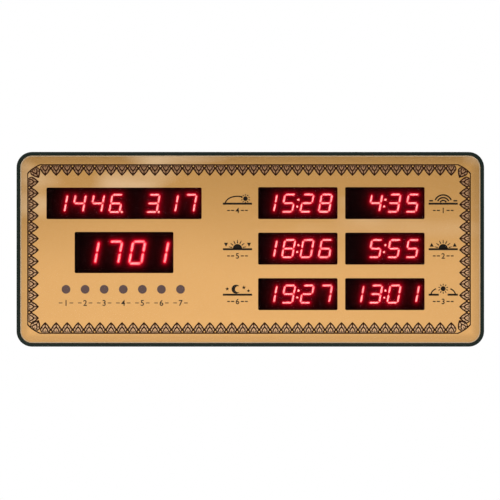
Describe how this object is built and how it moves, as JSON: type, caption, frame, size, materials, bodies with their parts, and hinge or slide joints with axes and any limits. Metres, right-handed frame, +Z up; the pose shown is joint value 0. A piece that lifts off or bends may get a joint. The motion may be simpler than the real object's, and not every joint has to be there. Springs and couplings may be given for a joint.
{
  "type": "azan clock",
  "caption": "Wide wall-mounted prayer time clock with LED time, date and prayer displays behind a gold printed lens in a dark rounded frame, with push buttons and a battery door behind.",
  "frame": {"origin": "centre of the flat rear face, on the wall", "axes": "+X to the right seen from the front, +Z up, the display faces -Y and the wall is at +Y"},
  "size_m": [0.48, 0.032, 0.2],
  "materials": {
    "frame_gloss": "gloss dark green-black",
    "lens_clear": "clear polished acrylic",
    "film_gold": "satin gold print",
    "tape_foam": "black foam tape",
    "filter_red": "dark red transparent sheet",
    "diffuser_smoke": "smoky milky sheet",
    "shell_black": "fine moulded texture",
    "tinned_pin": "tinned",
    "lamp_red": "diffused",
    "board_green": "solder mask",
    "chip_black": "moulded",
    "can_steel": "drawn can",
    "capacitor_sleeve": "shrink sleeve",
    "switch_black": "moulded",
    "door_black": "fine moulded texture",
    "cell_steel": "stamped steel can",
    "contact_brass": "plated spring strip",
    "basket_steel": "zinc plated",
    "magnet_iron": "ferrite and steel",
    "cone_paper": "pressed paper",
    "jack_black": "moulded",
    "plated_pin": "nickel plated",
    "screw_steel": "zinc plated",
    "wire_cover": "soft cover",
    "ribbon_grey": "flat cable",
    "led_housing": "black face",
    "led_segment": "milky epoxy",
    "button_grey": "moulded",
    "plunger_black": "moulded"
  },
  "bodies": {
    "case": {"front_frame": "frame_gloss", "front_lens": "lens_clear", "printed_film": "film_gold", "lens_tape": "tape_foam", "left_red_filter": "filter_red", "right_red_filter": "filter_red", "weekday_diffuser": "diffuser_smoke", "rear_shell": "shell_black", "display_pins": "tinned_pin", "weekday_leds": "lamp_red", "left_board": "board_green", "right_board": "board_green", "key_board": "board_green", "microcontroller": "chip_black", "audio_chip": "chip_black", "driver_chips": "chip_black", "crystal": "can_steel", "capacitors": "capacitor_sleeve", "regulator": "chip_black", "switch_bodies": "switch_black", "coin_cell": "cell_steel", "cell_contacts": "contact_brass", "speaker_basket": "basket_steel", "speaker_magnet": "magnet_iron", "speaker_cone": "cone_paper", "jack_housing": "jack_black", "jack_pin": "plated_pin", "case_screws": "screw_steel", "board_screws": "screw_steel", "speaker_screws": "screw_steel", "speaker_leads": "wire_cover", "power_leads": "wire_cover", "ribbon_cables": "ribbon_grey", "date_left_display": "led_housing", "date_left_segments": "led_segment", "date_right_display": "led_housing", "date_right_segments": "led_segment", "time_display": "led_housing", "time_segments": "led_segment", "fajr_display": "led_housing", "fajr_segments": "led_segment", "ishraq_display": "led_housing", "ishraq_segments": "led_segment", "dhuhr_display": "led_housing", "dhuhr_segments": "led_segment", "asr_display": "led_housing", "asr_segments": "led_segment", "maghrib_display": "led_housing", "maghrib_segments": "led_segment", "isha_display": "led_housing", "isha_segments": "led_segment"},
    "menu_key": {"menu_button": "button_grey", "menu_plunger": "plunger_black"},
    "down_key": {"down_button": "button_grey", "down_plunger": "plunger_black"},
    "up_key": {"up_button": "button_grey", "up_plunger": "plunger_black"},
    "display_key": {"display_button": "button_grey", "display_plunger": "plunger_black"},
    "battery_flap": {"battery_door": "door_black"}
  },
  "joints": [
    {"name": "menu_press", "type": "slide", "parent": "case", "child": "menu_key", "axis": [0, -1, 0], "range_m": [0, 0.0005], "stiffness_N_per_m": 600},
    {"name": "down_press", "type": "slide", "parent": "case", "child": "down_key", "axis": [0, -1, 0], "range_m": [0, 0.0005], "stiffness_N_per_m": 600},
    {"name": "up_press", "type": "slide", "parent": "case", "child": "up_key", "axis": [0, -1, 0], "range_m": [0, 0.0005], "stiffness_N_per_m": 600},
    {"name": "display_press", "type": "slide", "parent": "case", "child": "display_key", "axis": [0, -1, 0], "range_m": [0, 0.0005], "stiffness_N_per_m": 600},
    {"name": "battery_door_hinge", "type": "hinge", "parent": "case", "child": "battery_flap", "pos_m": [-0.09, -0.0014, 0.0042], "axis": [-1, 0, 0], "range_deg": [0, 90]}
  ]
}
